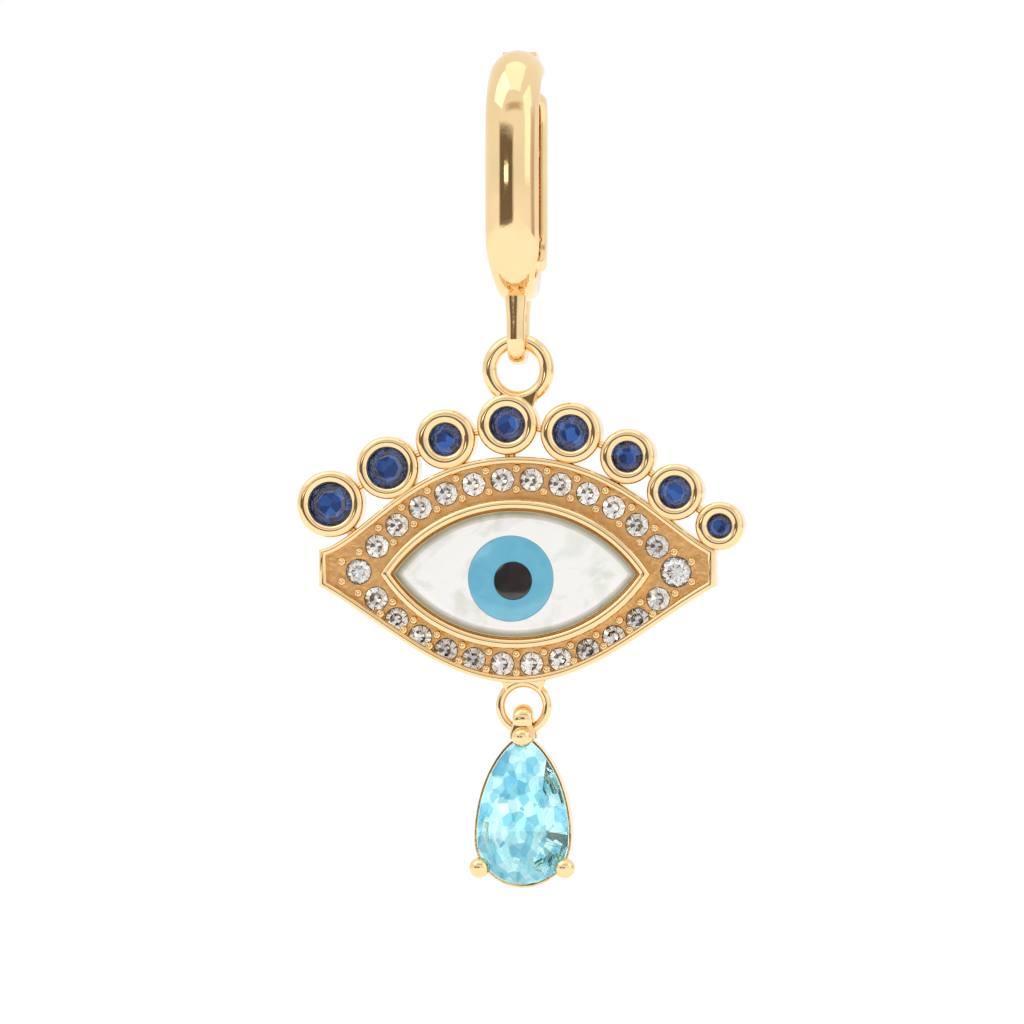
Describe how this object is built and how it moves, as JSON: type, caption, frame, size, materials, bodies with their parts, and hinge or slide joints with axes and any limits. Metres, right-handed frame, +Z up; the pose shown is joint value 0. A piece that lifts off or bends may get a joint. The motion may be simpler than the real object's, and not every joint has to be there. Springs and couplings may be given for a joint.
{
  "type": "evil eye charm pendant",
  "caption": "Gold eye charm with sapphire lashes, a diamond-set rim, a mother-of-pearl eye with a blue iris, a pear-cut blue drop and a hinged bail.",
  "frame": {"origin": "the chain seat: the inside of the bail hoop at its top", "axes": "+Z up along the hanging charm, -Y the way the eye looks, +X to the right as seen from the front"},
  "size_m": [0.0202, 0.0065, 0.0376],
  "materials": {
    "gold": "mirror-polished yellow gold",
    "sapphire": "faceted deep blue",
    "diamond": "faceted colourless",
    "mother_of_pearl": "polished shell with a pearly sheen",
    "iris_blue": "polished turquoise-blue inlay",
    "pupil_black": "polished black inlay",
    "topaz": "faceted sky blue",
    "hinge_steel": "drawn wire"
  },
  "bodies": {
    "bail": {"bail_band": "gold", "hinge_pin": "hinge_steel", "bail_loop": "gold"},
    "gate": {"bail_gate": "gold", "latch_tab": "gold"},
    "upper_ring": {"top_ring": "gold"},
    "eye": {"eye_frame": "gold", "eye_bezel": "gold", "back_plate": "gold", "mother_of_pearl": "mother_of_pearl", "iris_disc": "iris_blue", "pupil_disc": "pupil_black", "lash_cup_1": "gold", "lash_cup_2": "gold", "lash_cup_3": "gold", "lash_cup_4": "gold", "lash_cup_5": "gold", "lash_cup_6": "gold", "lash_cup_7": "gold", "lash_cup_8": "gold", "lash_sapphire_1": "sapphire", "lash_sapphire_2": "sapphire", "lash_sapphire_3": "sapphire", "lash_sapphire_4": "sapphire", "lash_sapphire_5": "sapphire", "lash_sapphire_6": "sapphire", "lash_sapphire_7": "sapphire", "lash_sapphire_8": "sapphire", "lash_webs": "gold", "ring_shoulders": "gold", "diamonds_upper": "diamond", "diamonds_lower": "diamond", "corner_diamond_left": "diamond", "corner_diamond_right": "diamond", "pave_beads": "gold", "low_ring_shoulders": "gold"},
    "lower_ring": {"low_ring": "gold"},
    "drop": {"drop_hanger": "gold", "drop_basket": "gold", "drop_claw_top": "gold", "drop_claw_left": "gold", "drop_claw_right": "gold", "topaz": "topaz"}
  },
  "joints": [
    {"name": "gate_hinge", "type": "hinge", "parent": "bail", "child": "gate", "pos_m": [0, 0.00128, 0.0006], "axis": [1, 0, 0], "range_deg": [0, 70]},
    {"name": "charm_swing", "type": "hinge", "parent": "bail", "child": "upper_ring", "pos_m": [0, 0, -0.01193], "axis": [1, 0, 0], "range_deg": [-60, 60]},
    {"name": "charm_sway", "type": "hinge", "parent": "upper_ring", "child": "eye", "pos_m": [0, 0, -0.01323], "axis": [0, 1, 0], "range_deg": [-60, 60]},
    {"name": "drop_sway", "type": "hinge", "parent": "eye", "child": "lower_ring", "pos_m": [0.00025, 0, -0.02838], "axis": [0, 1, 0], "range_deg": [-60, 60]},
    {"name": "drop_swing", "type": "hinge", "parent": "lower_ring", "child": "drop", "pos_m": [0.00025, 0, -0.02944], "axis": [1, 0, 0], "range_deg": [-45, 45]}
  ]
}
